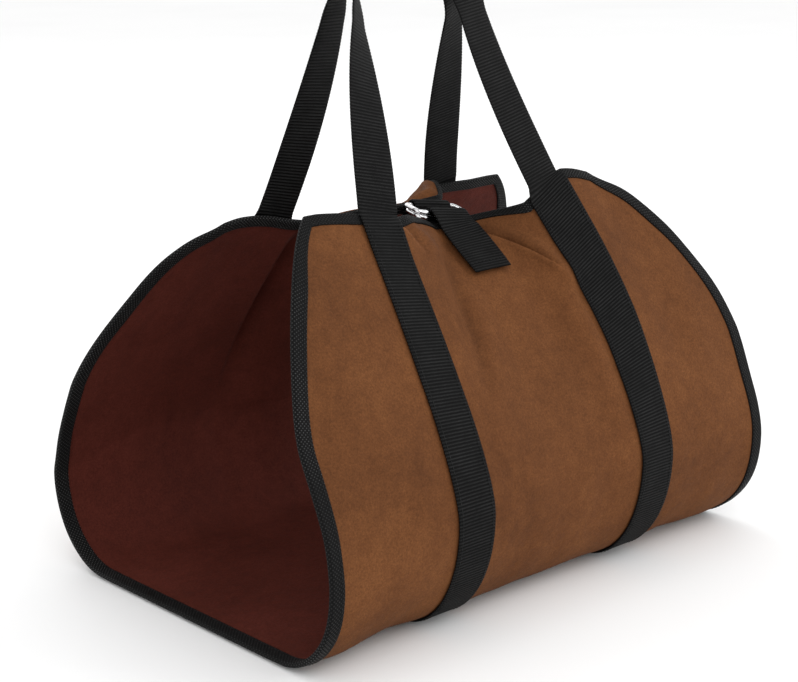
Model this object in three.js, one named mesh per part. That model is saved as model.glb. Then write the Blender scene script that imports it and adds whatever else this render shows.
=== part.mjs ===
// Log carrier: one canvas sheet folded into a sling that is open at both ends, with taped edges,
// two webbing straps that rise into handles, and a strap and two rings that draw the mouth shut.
// Millimetres, +Z up. The origin is the hand grip, under the crown of the handles.
// +X runs along the load and -Y is the front, where the closure strap's tail hangs.
// Inside the carrier's group, heights are measured up from the canvas bottom.
import * as THREE from "three";

// Canvas sheet
const bodyLength = 450;
const canvasThickness = 1.6;
const flatHalf = 104; // half the flat bottom, from the middle to where a corner starts
const wallLength = 248; // cloth from the corner to the top edge
const wallStartPull = 32; // how far the wall keeps upright above the corner
const shoulderDrop = 130; // below the top edge, where the ends start to draw in
const shoulderTapers = { left: 62, right: 75 };
const shoulderPower = 1.6;
const topCornerPower = 10;

// Tape and webbing
const pieceGap = 0.3;
const strapGap = 0.5; // under a strap, where the panel bends
const tapeWidth = 10; // what shows of the tape on each face of the open ends
const topTapeWidth = 6; // the same along the top edges
const tapeThickness = 1;
const webbingWidth = 35;
const webbingThickness = 1.8;
const strapSpread = 96; // from the carrier's middle to the middle of each strap
const strapInner = strapSpread - webbingWidth / 2;
const strapOuter = strapSpread + webbingWidth / 2;
const climbDrop = 26; // below the top edge, where a strap starts to climb over the tape
const climbMiddle = (climbDrop + topTapeWidth) / 2;

// How far the straps are drawn together at the top edge, and how far down that starts
const sides = { left: -1, right: 1 };
const gathers = { left: 4, right: 16 };
const gatherDrop = 110;
const gatherPower = 1.6;

// Each panel where it hangs free and where the closure draws it in: half width and rise of the
// bottom corner, the top edge's distance out and height, the cloth's lean there in degrees and how
// far down it keeps that lean. The drawing in fades out to each side, the sooner the lower its power
// and the nearer its reach: inward, in height and in lean.
// Crests are where the top edge stands higher, or lower, with their marks, half widths and heights.
// A leg of the handle leaves the top edge with an inward run for each unit of height, and turns by
// the given degrees, counter-clockwise from above, before it joins the other handle.
const strapClear = strapInner - 3;
const panels = {
  front: {
    sign: -1,
    free: { half: 160, rise: 82, topOut: 55, topZ: 285, lean: 36, endPull: 105 },
    drawn: { half: 157, rise: 82, topOut: 23, topZ: 254.5, lean: 62, endPull: 70 },
    inward: { left: { power: 1.4, reach: strapClear }, right: { power: 1.7, reach: strapClear } },
    height: { left: { power: 0.75, reach: 150 }, right: { power: 1.5, reach: strapOuter } },
    lean: { left: { power: 1.4, reach: strapClear }, right: { power: 3, reach: strapClear } },
    crests: [
      { mark: 116, spread: 24, height: 3 },
      { mark: 150, spread: 20, height: -5 },
    ],
    cornerRounds: { left: 7, right: 24 },
    legRun: { x: 0.28, y: 0.44 },
    legTwist: { left: 37, right: 11 },
  },
  back: {
    sign: 1,
    free: { half: 160, rise: 82, topOut: 54, topZ: 264, lean: 36, endPull: 105 },
    drawn: { half: 146, rise: 84, topOut: 9, topZ: 263, lean: 106, endPull: 46 },
    inward: { left: { power: 1.5, reach: strapClear }, right: { power: 2, reach: strapClear } },
    height: { left: { power: 1.5, reach: strapClear }, right: { power: 1.5, reach: strapClear } },
    lean: { left: { power: 4, reach: strapClear }, right: { power: 3, reach: strapClear } },
    crests: [
      { mark: 63, spread: 13, height: 9 },
      { mark: -70, spread: 28, height: -9 },
      { mark: -150, spread: 14, height: -2.5 },
    ],
    cornerRounds: { left: 24, right: 7 },
    legRun: { x: 0.275, y: 0.27 },
    legTwist: { left: 20, right: 27 },
  },
};
// Where the bottom corners sag, towards the open ends: marks, half widths and depths
const sags = [
  { mark: -225, spread: 45, depth: 18 },
  { mark: 225, spread: 45, depth: 9 },
];
const drawnMiddle = 15; // mark in the middle of the closure
const drawnFlat = 22; // half the width that the closure holds straight
const drawnEase = 1.15;
const fadesAs = {
  half: "inward",
  rise: "inward",
  topOut: "inward",
  topZ: "height",
  lean: "lean",
  endPull: "lean",
};

// Folds of the panels: their ends along X and below the top edge, half width and height
const folds = [
  { on: panels.front, fromX: -4, fromDrop: 10, toX: -68, toDrop: 140, spread: 15, height: -5 },
  { on: panels.front, fromX: 34, fromDrop: 14, toX: 76, toDrop: 60, spread: 9, height: 6 },
  { on: panels.front, fromX: -66, fromDrop: 2, toX: -34, toDrop: 36, spread: 9, height: 5 },
  { on: panels.back, fromX: 6, fromDrop: 16, toX: 62, toDrop: 16, spread: 11, height: 8 },
];

// Handles
const gripHeight = 520; // from the canvas bottom to the underside of the front handle's crown
const gripX = -6;
const gripY = 7;
const springHeight = 488; // where the legs end and the crown's arch starts
const springHalf = 46;
const springLean = 0.1; // inward run of the legs there for each unit of height
const legPull = 70;
const archRise = 24;
const archRun = 28;
const twistStart = 300;
const turnHeight = 405; // where the legs start to turn edge on to the load
const twistPower = 1.7;
const crownStep = webbingThickness + 2 * pieceGap; // the back handle's crown over the front one's
const springStep = 6; // the back handle outside the front one where the arch starts

// Closure
const closureX = 13;
const ringWire = 3.6;
const ringHalfWidth = 23.6; // to the middle of the wire
const ringFront = 14; // depth of the rounded side, from the ring's widest line
const ringBack = 4; // depth of the flatter side, which the loop holds
const ringPower = 6;
const ringTilt = 11; // degrees that the rounded sides hang below the loop
const ringYaw = -0.06; // run of the rings' length along Y for each unit along X
const ringRoll = -0.14; // the same along Z
const ringBar = { y: -0.2, z: 260.5 }; // middle of the lower ring's flatter side
const ringStep = 4; // between the two rings
const ringShift = 0.8; // each ring to its own side
const baseDrop = 30; // length of the closure strap sewn inside the front panel
const tailStart = 10; // below the top edge, where the tail meets the panel
const tailDrop = 56; // below the top edge, where the tail ends
const tailGap = 0.7; // between the tail and the tape under it
const tailStandOff = 1.5; // how much further the tail's end stands off the panel
const loopTuck = 30; // length of the loop's ends inside the back panel
const edgeClear = 2; // how far past the top edge closure webbing keeps the panel's direction
const closureSlack = 0.5; // more room under closure webbing, where a panel bends
const turnShare = 0.25; // share of a path in which its webbing turns to the rings' direction

// How the closure strap and the loop go round the rings, lower ring 0 and upper ring 1:
// degrees about the wire from the back over the top, and slack beyond a close fit
const closureTurns = [
  { level: 0, degrees: 320, slack: 1 },
  { level: 0, degrees: 10, slack: 1 },
  { level: 1, degrees: 30, slack: 0.8 },
  { level: 1, degrees: 90, slack: 0.8 },
  { level: 1, degrees: 150, slack: 1 },
];
const loopTurns = [
  { level: 0, degrees: 10, slack: 2.2 },
  { level: 1, degrees: 15, slack: 2 },
  { level: 1, degrees: 90, slack: 0.7 },
  { level: 1, degrees: 165, slack: 0.8 },
  { level: 0, degrees: 195, slack: 0.8 },
  { level: 0, degrees: 270, slack: 0.8 },
];

// Fineness
const middleColumns = 8; // from the carrier's middle to a strap
const outerShares = [0.25, 0.5, 0.75]; // columns between a strap and the tape
const stationSteps = { flat: 3, corner: 6, wall: 9 };
const legSteps = 14;
const archSteps = 7;
const foldSteps = 20;
const ringSteps = 28;
const wireSides = 8;

// Offsets from the middle of the canvas to the middle of a piece that lies on it
const tapeOuter = canvasThickness / 2 + pieceGap + tapeThickness;
const sewnLift = canvasThickness / 2 + strapGap + webbingThickness / 2;
const overTapeLift = tapeOuter + pieceGap + webbingThickness / 2;
const tailLift = overTapeLift + tailGap;

// Steps along the cloth in which its slope is measured
const markStep = 1;
const stationStep = 0.01;

const { lerp, smoothstep, degToRad } = THREE.MathUtils;
const vec = (x, y, z) => new THREE.Vector3(x, y, z);
const steps = (from, to, count) => Array.from({ length: count }, (_, i) => lerp(from, to, i / count));

// A station runs from 0 at the bottom's middle over 1 and 2 at the ends of the corner to 3 at the top
const topStation = 3;
const stationAt = (drop) => topStation - drop / wallLength;
const dropAt = (station) => (topStation - station) * wallLength;
const sideStations = [
  ...steps(0, 1, stationSteps.flat),
  ...steps(1, 2, stationSteps.corner),
  ...steps(2, stationAt(climbDrop), stationSteps.wall),
  stationAt(climbDrop),
  stationAt(climbMiddle),
  stationAt(topTapeWidth),
  topStation,
];

// How far a strap is drawn towards the middle at a station
function gatherAt(side, station) {
  return gathers[side] * Math.max(0, 1 - dropAt(station) / gatherDrop) ** gatherPower;
}

// Where a mark of the cloth, its place along X before the gathering, comes to lie, and the way back
const sideOf = (x) => (x < 0 ? "left" : "right");

function alongX(mark, station) {
  const share = Math.min(1, Math.abs(mark) / strapInner);
  return mark - Math.sign(mark) * share * gatherAt(sideOf(mark), station);
}

function markAt(x, station) {
  return x / (1 - gatherAt(sideOf(x), station) / strapInner);
}

// How much the closure draws a panel in, from 1 in the middle to 0
function drawnAmount(fading, mark) {
  const side = sideOf(mark - drawnMiddle);
  const { power, reach } = fading[side];
  const room = Math.abs(sides[side] * reach - drawnMiddle) - drawnFlat;
  const share = Math.min(1, Math.max(0, Math.abs(mark - drawnMiddle) - drawnFlat) / room);
  return (1 - share ** power) ** drawnEase;
}

// The panel's own sizes at a mark
function panelAt(panel, mark) {
  const { free, drawn, crests } = panel;
  const sizes = {};
  for (const name of Object.keys(free)) {
    const fading = panel[fadesAs[name]];
    sizes[name] = lerp(free[name], drawn[name], drawnAmount(fading, mark));
  }
  const bell = (row) => Math.exp(-(((mark - row.mark) / row.spread) ** 2));
  for (const crest of crests) {
    sizes.topZ += crest.height * bell(crest);
  }
  for (const sag of sags) {
    sizes.rise -= sag.depth * bell(sag);
  }
  return sizes;
}

// The section without folds: flat bottom, rounded corner, leaning wall
function sectionPoint(panel, mark, station) {
  const { half, rise, topOut, topZ, lean, endPull } = panelAt(panel, mark);
  const x = alongX(mark, station);
  if (station <= 1) {
    return vec(x, panel.sign * flatHalf * station, 0);
  }
  if (station <= 2) {
    const turn = ((station - 1) * Math.PI) / 2;
    return vec(x, panel.sign * lerp(flatHalf, half, Math.sin(turn)), rise * (1 - Math.cos(turn)));
  }
  const tilt = degToRad(lean);
  const wall = new THREE.CubicBezierCurve(
    new THREE.Vector2(half, rise),
    new THREE.Vector2(half, rise + wallStartPull),
    new THREE.Vector2(topOut + endPull * Math.sin(tilt), topZ - endPull * Math.cos(tilt)),
    new THREE.Vector2(topOut, topZ),
  );
  const { x: out, y: height } = wall.getPoint(station - 2);
  return vec(x, panel.sign * out, height);
}

// The outward normal of a surface given as a function of panel, mark and station
function outward(surface, panel, mark, station) {
  const along = surface(panel, mark + markStep, station).sub(surface(panel, mark - markStep, station));
  const up = surface(panel, mark, station + stationStep).sub(surface(panel, mark, station - stationStep));
  return along.cross(up).multiplyScalar(-panel.sign).normalize();
}

// How far the folds lift a place of a panel
function foldLift(panel, x, drop) {
  let lift = 0;
  for (const { fromX, fromDrop, toX, toDrop, spread, height } of folds.filter(({ on }) => on === panel)) {
    const run = new THREE.Vector2(toX - fromX, toDrop - fromDrop);
    const place = new THREE.Vector2(x - fromX, drop - fromDrop);
    const share = Math.min(1, Math.max(0, place.dot(run) / run.lengthSq()));
    const distance = place.distanceTo(run.clone().multiplyScalar(share));
    lift += height * Math.sin(Math.PI * share) * Math.exp(-((distance / spread) ** 2));
  }
  return lift;
}

// The middle of the cloth, with its folds
function clothPoint(panel, mark, station) {
  const point = sectionPoint(panel, mark, station);
  if (station > 2) {
    const lift = foldLift(panel, point.x, dropAt(station));
    point.addScaledVector(outward(sectionPoint, panel, mark, station), lift);
  }
  return point;
}

// A place on the cloth, lifted off it, with the normal there
function onCloth(panel, mark, station, lift) {
  const normal = outward(clothPoint, panel, mark, station);
  return { point: clothPoint(panel, mark, station).addScaledVector(normal, lift), normal };
}

// The sheet's length on one side of the carrier's middle at a station
function halfLength(panel, side, station) {
  const share = Math.max(0, 1 - dropAt(station) / shoulderDrop);
  const taper = shoulderTapers[side] * share ** shoulderPower;
  return bodyLength / 2 - taper - panel.cornerRounds[side] * share ** topCornerPower;
}

// A closed geometry from points and triangles, turned so that its faces point out
function solid(points, triangles) {
  const volume = triangles.reduce(
    (sum, [a, b, c]) => sum + points[a].dot(points[b].clone().cross(points[c])),
    0,
  );
  const facing = volume < 0 ? triangles.map(([a, b, c]) => [a, c, b]) : triangles;
  const geometry = new THREE.BufferGeometry().setFromPoints(points);
  geometry.setIndex(facing.flat());
  geometry.computeVertexNormals();
  return geometry;
}

// The two triangles of each cell of a grid, split along the diagonal that points to a corner
function gridCells(rows, columns) {
  const cells = [];
  for (let r = 0; r < rows - 1; r += 1) {
    for (let c = 0; c < columns - 1; c += 1) {
      const [a, b] = [r * columns + c, r * columns + c + 1];
      const [d, e] = [a + columns, b + columns];
      const falling = r < (rows - 1) / 2 === c < (columns - 1) / 2;
      const triangles = falling ? [[a, b, e], [a, e, d]] : [[a, b, d], [b, e, d]];
      const onEdge = r === 0 || r === rows - 2 || c === 0 || c === columns - 2;
      cells.push({ triangles, onEdge });
    }
  }
  return cells;
}

// The edges that only one of the triangles has, in its direction
function openEdges(triangles) {
  const edges = new Map();
  for (const [a, b, c] of triangles) {
    for (const [from, to] of [[a, b], [b, c], [c, a]]) {
      if (!edges.delete(`${to} ${from}`)) {
        edges.set(`${from} ${to}`, [from, to]);
      }
    }
  }
  return [...edges.values()];
}

const reversed = (triangles) => triangles.map(([a, b, c]) => [a, c, b]);
const shifted = (triangles, by) => triangles.map((triangle) => triangle.map((index) => index + by));

// The wall between one layer of points and another along an open edge
function edgeWall([from, to], layer, otherLayer) {
  return [
    [from + layer, from + otherLayer, to + otherLayer],
    [from + layer, to + otherLayer, to + layer],
  ];
}

// A sheet of even thickness over rows of places with normals
function sheet(rows, thickness) {
  const places = rows.flat();
  const layer = (lift) => places.map(({ point, normal }) => point.clone().addScaledVector(normal, lift));
  const triangles = gridCells(rows.length, rows[0].length).flatMap((cell) => cell.triangles);
  const count = places.length;
  return solid(
    [...layer(thickness / 2), ...layer(-thickness / 2)],
    [
      ...triangles,
      ...shifted(reversed(triangles), count),
      ...openEdges(triangles).flatMap((edge) => edgeWall(edge, 0, count)),
    ],
  );
}

// The marks of one half of the canvas grid at a station, from the middle to the edge
function columnMarks(panel, side, station) {
  const tapeLine = halfLength(panel, side, station) - tapeWidth + gatherAt(side, station);
  return [
    ...steps(0, strapInner, middleColumns).slice(1),
    strapInner,
    strapSpread,
    strapOuter,
    ...outerShares.map((share) => lerp(strapOuter, tapeLine, share)),
    tapeLine,
    tapeLine + tapeWidth,
  ];
}

// The places of the canvas grid, from the front top edge under the bottom to the back top edge
function canvasRows() {
  const row = (panel, station) => {
    const left = columnMarks(panel, "left", station).map((mark) => -mark);
    const marks = [...left.reverse(), 0, ...columnMarks(panel, "right", station)];
    return marks.map((mark) => onCloth(panel, mark, station, 0));
  };
  return [
    ...sideStations.map((station) => row(panels.front, station)).reverse(),
    ...sideStations.slice(1).map((station) => row(panels.back, station)),
  ];
}

// The way out of the sheet at each place of its edge, square to the edge on both sides of a corner
function edgeDirections(rows, edges) {
  const places = rows.flat();
  const outOf = new Map();
  for (const [from, to] of edges) {
    const run = places[to].point.clone().sub(places[from].point);
    for (const index of [from, to]) {
      const out = run.clone().cross(places[index].normal).normalize();
      outOf.set(index, [...(outOf.get(index) ?? []), out]);
    }
  }
  const directions = new Map();
  for (const [index, [one, other]] of outOf) {
    const middle = one.clone().add(other).normalize();
    directions.set(index, middle.divideScalar(middle.dot(one)));
  }
  return directions;
}

// The tape folded over the sheet's whole edge: an outer and an inner layer on each face of the cloth
function tapeGeometry(rows) {
  const places = rows.flat();
  const cells = gridCells(rows.length, rows[0].length);
  const sheetEdges = openEdges(cells.flatMap((cell) => cell.triangles));
  const isSheetEdge = new Set(sheetEdges.map((edge) => edge.join(" ")));
  const directions = edgeDirections(rows, sheetEdges);
  const firstDirection = directions.get(0).dot(places[0].point.clone().sub(rows[1][1].point));
  const triangles = cells.filter((cell) => cell.onEdge).flatMap((cell) => cell.triangles);
  const used = [...new Set(triangles.flat())];
  const slotOf = new Map(used.map((index, slot) => [index, slot]));
  const layer = (lift, reach) =>
    used.map((index) => {
      const point = places[index].point.clone().addScaledVector(places[index].normal, lift);
      const direction = directions.get(index);
      return direction ? point.addScaledVector(direction, reach * Math.sign(firstDirection)) : point;
    });
  const inner = canvasThickness / 2 + pieceGap;
  const reach = pieceGap + tapeThickness;
  const count = used.length;
  const [outerTop, innerTop, innerUnder, outerUnder] = [0, count, 2 * count, 3 * count];
  const packed = triangles.map((triangle) => triangle.map((index) => slotOf.get(index)));
  const walls = openEdges(triangles).flatMap((edge) => {
    const packedEdge = edge.map((index) => slotOf.get(index));
    if (isSheetEdge.has(edge.join(" "))) {
      return [
        ...edgeWall(packedEdge, outerTop, outerUnder),
        ...reversed(edgeWall(packedEdge, innerTop, innerUnder)),
      ];
    }
    return [...edgeWall(packedEdge, outerTop, innerTop), ...edgeWall(packedEdge, innerUnder, outerUnder)];
  });
  return solid(
    [
      ...layer(tapeOuter, reach),
      ...layer(inner, pieceGap),
      ...layer(-inner, pieceGap),
      ...layer(-tapeOuter, reach),
    ],
    [
      ...packed,
      ...shifted(reversed(packed), innerTop),
      ...shifted(packed, innerUnder),
      ...shifted(reversed(packed), outerUnder),
      ...walls,
    ],
  );
}

const across = [-webbingWidth / 2, 0, webbingWidth / 2];

// How high a strap's middle lies over the canvas: it climbs over the tape near the top edge
function strapLift(station) {
  const climb = (climbDrop - dropAt(station)) / (climbDrop - topTapeWidth);
  return lerp(sewnLift, overTapeLift, Math.min(1, Math.max(0, climb)));
}

// A row of a free ribbon from its middle, its run and the way that its width lies
function ribbonRow(middle, run, width, facing) {
  const tangent = run.clone().normalize();
  const side = width.clone().addScaledVector(tangent, -width.dot(tangent)).normalize();
  const normal = tangent.clone().cross(side).multiplyScalar(facing);
  return across.map((offset) => ({ point: middle.clone().addScaledVector(side, offset), normal }));
}

// The turn of a leg's width about the upright at a height, in degrees from the X direction
function legTurn(panel, side, height) {
  const seen = panel.legTwist[side];
  if (height < turnHeight) {
    return seen * Math.max(0, (height - twistStart) / (turnHeight - twistStart)) ** twistPower;
  }
  return lerp(seen, -90 * sides[side], smoothstep(height, turnHeight, springHeight));
}

// One leg of a handle and half of its crown
function handleRows(panel, side) {
  const sign = sides[side];
  const facing = -sign * panel.sign;
  const outOf = (run) => vec(sign * run.z, 0, -sign * run.x).setLength(panel === panels.back ? 1 : 0);
  const lean = vec(-sign * springLean, 0, 1).normalize();
  const top = onCloth(panel, sign * strapSpread, topStation, overTapeLift).point;
  const start = vec(-sign * panel.legRun.x, -panel.sign * panel.legRun.y, 1).normalize();
  const spring = vec(gripX + sign * springHalf, gripY, springHeight);
  const crown = vec(gripX, gripY, gripHeight + webbingThickness / 2);
  const legEnd = spring.clone().addScaledVector(outOf(lean), springStep);
  const leg = new THREE.CubicBezierCurve3(
    top,
    top.clone().addScaledVector(start, legPull),
    legEnd.clone().addScaledVector(lean, -legPull),
    legEnd,
  );
  const arch = new THREE.CubicBezierCurve3(
    spring,
    spring.clone().addScaledVector(lean, archRise),
    crown.clone().add(vec(sign * archRun, 0, 0)),
    crown,
  );
  const rows = [];
  for (let i = 1; i <= legSteps; i += 1) {
    const middle = leg.getPoint(i / legSteps);
    const turn = degToRad(legTurn(panel, side, middle.z));
    const width = vec(Math.cos(turn), Math.sin(turn), 0).multiplyScalar(-sign);
    rows.push(ribbonRow(middle, leg.getTangent(i / legSteps), width, facing));
  }
  for (let i = 1; i <= archSteps; i += 1) {
    const run = arch.getTangent(i / archSteps);
    const step = lerp(springStep, crownStep, i / archSteps);
    const middle = arch.getPoint(i / archSteps).addScaledVector(outOf(run), step);
    rows.push(ribbonRow(middle, run, vec(0, 1, 0), facing));
  }
  return rows;
}

// Half of a strap, from the bottom's middle up a side of a panel and the handle to its crown
function strapHalf(panel, side) {
  const start = pieceGap / flatHalf;
  const sewn = [start, ...sideStations.slice(1)].map((station) =>
    across.map((offset) =>
      onCloth(panel, sides[side] * (strapSpread - offset), station, strapLift(station)),
    ),
  );
  return [...sewn, ...handleRows(panel, side)];
}

// A whole strap: up one side of a panel, over as a handle and down the other side
function strapRows(panel) {
  return [...strapHalf(panel, "left"), ...strapHalf(panel, "right").slice(0, -1).reverse()];
}

// Rows of closure webbing along a smooth path, turned to the rings' direction between its ends
function pathRows(path, facing) {
  const curve = new THREE.CatmullRomCurve3(path.map(([y, z]) => vec(closureX, y, z)), false, "centripetal");
  const rows = [];
  for (let i = 1; i < foldSteps; i += 1) {
    const share = i / foldSteps;
    const turned = smoothstep(share, 0, turnShare) * smoothstep(1 - share, 0, turnShare);
    const width = vec(1, ringYaw * turned, ringRoll * turned);
    const normal = curve.getTangentAt(share).cross(width).normalize().multiplyScalar(facing);
    const middle = curve.getPointAt(share);
    rows.push(across.map((offset) => ({ point: middle.clone().addScaledVector(width, offset), normal })));
  }
  return rows;
}

const flipped = (row) => row.map(({ point, normal }) => ({ point, normal: normal.clone().negate() }));

// Places of a ring's middle: its flatter side in the loop and its rounded side, lower ring first
function ringPlace(level) {
  const tilt = degToRad(ringTilt);
  const y = ringBar.y - level * ringStep * Math.sin(tilt);
  const z = ringBar.z + level * ringStep * Math.cos(tilt);
  const depth = ringFront + ringBack;
  return {
    bar: { y, z },
    front: { y: y - depth * Math.cos(tilt), z: z - depth * Math.sin(tilt) },
    middle: { y: y - ringBack * Math.cos(tilt), z: z - ringBack * Math.sin(tilt) },
  };
}

// The points of a path round the rings' wires, given by turn about each wire and slack round it
function wrapPoints(turns, side) {
  return turns.map(({ level, degrees, slack }) => {
    const wire = ringPlace(level)[side];
    const radius = ringWire / 2 + pieceGap + webbingThickness / 2 + slack;
    const turn = degToRad(degrees);
    return [wire.y + radius * Math.cos(turn), wire.z + radius * Math.sin(turn)];
  });
}

const middleOf = (row) => [row[1].point.y, row[1].point.z];

// A row of closure webbing that lies on a panel
function closureRow(panel, drop, lift) {
  const station = stationAt(drop);
  return across.map((offset) => onCloth(panel, markAt(closureX + offset, station), station, lift));
}

// The closure strap: sewn inside the front panel, up through the rings, over them and down outside
function closureRows() {
  const base = [baseDrop, climbDrop, topTapeWidth, 0].map((drop) =>
    closureRow(panels.front, drop, -closureSlack - strapLift(stationAt(drop))),
  );
  const tail = [tailStart, climbDrop, (climbDrop + tailDrop) / 2, tailDrop].map((drop) =>
    flipped(closureRow(panels.front, drop, tailLift + (tailStandOff * drop) / tailDrop)),
  );
  const path = [middleOf(base.at(-1)), ...wrapPoints(closureTurns, "front"), middleOf(tail[0])];
  return [...base, ...pathRows(path, -1), ...tail];
}

// The loop: up inside the back panel, round the rings' flatter sides and down inside again
function loopRows() {
  const drops = [loopTuck, climbMiddle, topTapeWidth, 0, -edgeClear];
  const upperLift = overTapeLift + closureSlack;
  const lowerLift = upperLift + webbingThickness + closureSlack;
  const upper = drops.map((drop) => closureRow(panels.back, drop, -upperLift));
  const lower = drops.map((drop) => flipped(closureRow(panels.back, drop, -lowerLift))).reverse();
  const path = [middleOf(upper.at(-1)), ...wrapPoints(loopTurns, "bar"), middleOf(lower[0])];
  return [...upper, ...pathRows(path, 1), ...lower];
}

// A ring in its own plane: the wire's section swept round a rounded D
function ringGeometry() {
  const bend = (value) => Math.sign(value) * Math.abs(value) ** (2 / ringPower);
  const middle = (i) => {
    const turn = (2 * Math.PI * i) / ringSteps;
    const depth = Math.sin(turn) > 0 ? ringBack : ringFront;
    return vec(ringHalfWidth * bend(Math.cos(turn)), depth * bend(Math.sin(turn)), 0);
  };
  const points = [];
  for (let i = 0; i < ringSteps; i += 1) {
    const run = middle(i + 1).sub(middle(i - 1)).normalize();
    const out = vec(run.y, -run.x, 0);
    for (let k = 0; k < wireSides; k += 1) {
      const turn = (2 * Math.PI * k) / wireSides;
      const offset = out.clone().multiplyScalar(Math.cos(turn)).add(vec(0, 0, Math.sin(turn)));
      points.push(middle(i).addScaledVector(offset, ringWire / 2));
    }
  }
  const triangles = [];
  for (let i = 0; i < ringSteps; i += 1) {
    const [here, next] = [i * wireSides, ((i + 1) % ringSteps) * wireSides];
    for (let k = 0; k < wireSides; k += 1) {
      const other = (k + 1) % wireSides;
      triangles.push([here + k, here + other, next + other], [here + k, next + other, next + k]);
    }
  }
  return solid(points, triangles);
}

const canvasCloth = new THREE.MeshStandardMaterial({ color: 0x73462a, roughness: 0.85, metalness: 0 });
const webbing = new THREE.MeshStandardMaterial({ color: 0x191919, roughness: 0.8, metalness: 0 });
const edgeTape = new THREE.MeshStandardMaterial({ color: 0x1c1c1c, roughness: 0.75, metalness: 0 });
const polishedSteel = new THREE.MeshStandardMaterial({ color: 0xd4d4d4, roughness: 0.2, metalness: 1 });

function piece(name, geometry, material) {
  const mesh = new THREE.Mesh(geometry, material);
  mesh.name = name;
  return mesh;
}

const carrier = new THREE.Group();
carrier.position.set(-gripX, -gripY, -gripHeight);

const canvasGrid = canvasRows();
carrier.add(piece("canvas", sheet(canvasGrid, canvasThickness), canvasCloth));
carrier.add(piece("edge_binding", tapeGeometry(canvasGrid), edgeTape));
carrier.add(piece("front_strap", sheet(strapRows(panels.front), webbingThickness), webbing));
carrier.add(piece("back_strap", sheet(strapRows(panels.back), webbingThickness), webbing));
carrier.add(piece("closure_strap", sheet(closureRows(), webbingThickness), webbing));
carrier.add(piece("ring_loop", sheet(loopRows(), webbingThickness), webbing));

const ringRun = vec(1, ringYaw, ringRoll).normalize();
const ringDepth = vec(0, Math.cos(degToRad(ringTilt)), Math.sin(degToRad(ringTilt)));
ringDepth.addScaledVector(ringRun, -ringDepth.dot(ringRun)).normalize();
const ringTurn = new THREE.Matrix4().makeBasis(ringRun, ringDepth, ringRun.clone().cross(ringDepth));

["d_ring_lower", "d_ring_upper"].forEach((name, level) => {
  const ring = piece(name, ringGeometry(), polishedSteel);
  const { y, z } = ringPlace(level).middle;
  ring.position.set(closureX, y, z);
  ring.position.addScaledVector(ringRun, level === 0 ? ringShift : -ringShift);
  ring.setRotationFromMatrix(ringTurn);
  carrier.add(ring);
});

const group = new THREE.Group();
group.add(carrier);

export default group;
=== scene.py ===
"""Looks of the log carrier: a fine canvas sheet, woven tape, ribbed webbing, bright rings and stitches.

Shapes are worked out in millimetres in the carrier's own frame, with heights from the canvas bottom.
They are then placed in metres in the part's frame, whose origin is the hand grip.
"""

import math

import bpy
import numpy as np
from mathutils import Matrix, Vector


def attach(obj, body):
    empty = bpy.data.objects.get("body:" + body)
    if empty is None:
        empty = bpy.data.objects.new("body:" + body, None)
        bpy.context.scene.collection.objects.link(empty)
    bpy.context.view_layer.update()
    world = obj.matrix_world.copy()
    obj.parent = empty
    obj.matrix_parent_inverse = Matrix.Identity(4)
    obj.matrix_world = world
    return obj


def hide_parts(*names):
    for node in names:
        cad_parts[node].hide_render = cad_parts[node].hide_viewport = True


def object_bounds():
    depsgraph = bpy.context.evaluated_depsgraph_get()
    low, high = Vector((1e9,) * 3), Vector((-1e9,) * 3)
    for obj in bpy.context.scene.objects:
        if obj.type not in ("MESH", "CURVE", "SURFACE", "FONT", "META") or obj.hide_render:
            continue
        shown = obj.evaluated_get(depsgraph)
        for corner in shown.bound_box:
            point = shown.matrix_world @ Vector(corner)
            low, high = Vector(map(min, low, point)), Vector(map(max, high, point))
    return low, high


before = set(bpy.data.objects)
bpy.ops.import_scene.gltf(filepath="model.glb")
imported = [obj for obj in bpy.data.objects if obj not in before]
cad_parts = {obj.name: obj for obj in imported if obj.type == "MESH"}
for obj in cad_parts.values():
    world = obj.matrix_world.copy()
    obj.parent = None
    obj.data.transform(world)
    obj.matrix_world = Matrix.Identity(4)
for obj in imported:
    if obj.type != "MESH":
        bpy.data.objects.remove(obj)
cad_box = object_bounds()

MM_PER_M = 1000

# Camera and stage, in metres and degrees
CAMERA_PLACE = (-0.937, -0.999, 0.007)
CAMERA_AZIMUTH = -43
CAMERA_PITCH = 15
IMAGE_WIDTH = 798
FOCAL_PIXELS = 1850
SENSOR_WIDTH = 36
FLOOR_HALF = 20
FLOOR_GAP = 0.001

# Canvas sheet
BODY_LENGTH = 450
CANVAS_THICKNESS = 1.6
FLAT_HALF = 104
WALL_LENGTH = 248
WALL_START_PULL = 32
SHOULDER_DROP = 130
SHOULDER_TAPERS = {"left": 62, "right": 75}
SHOULDER_POWER = 1.6
TOP_CORNER_POWER = 10
CORNER_LENGTH = 95
CLOTH_LENGTHS = (FLAT_HALF, CORNER_LENGTH, WALL_LENGTH)  # from the bottom's middle to the top edge

# Tape and webbing
PIECE_GAP = 0.3
STRAP_GAP = 0.5
TAPE_WIDTH = 10
TOP_TAPE_WIDTH = 6
TAPE_THICKNESS = 1
WEBBING_WIDTH = 35
WEBBING_THICKNESS = 1.8
STRAP_SPREAD = 96
STRAP_INNER = STRAP_SPREAD - WEBBING_WIDTH / 2
STRAP_OUTER = STRAP_SPREAD + WEBBING_WIDTH / 2
CLIMB_DROP = 26

# How far the straps are drawn together at the top edge
SIDES = {"left": -1, "right": 1}
GATHERS = {"left": 4, "right": 16}
GATHER_DROP = 110
GATHER_POWER = 1.6

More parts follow.
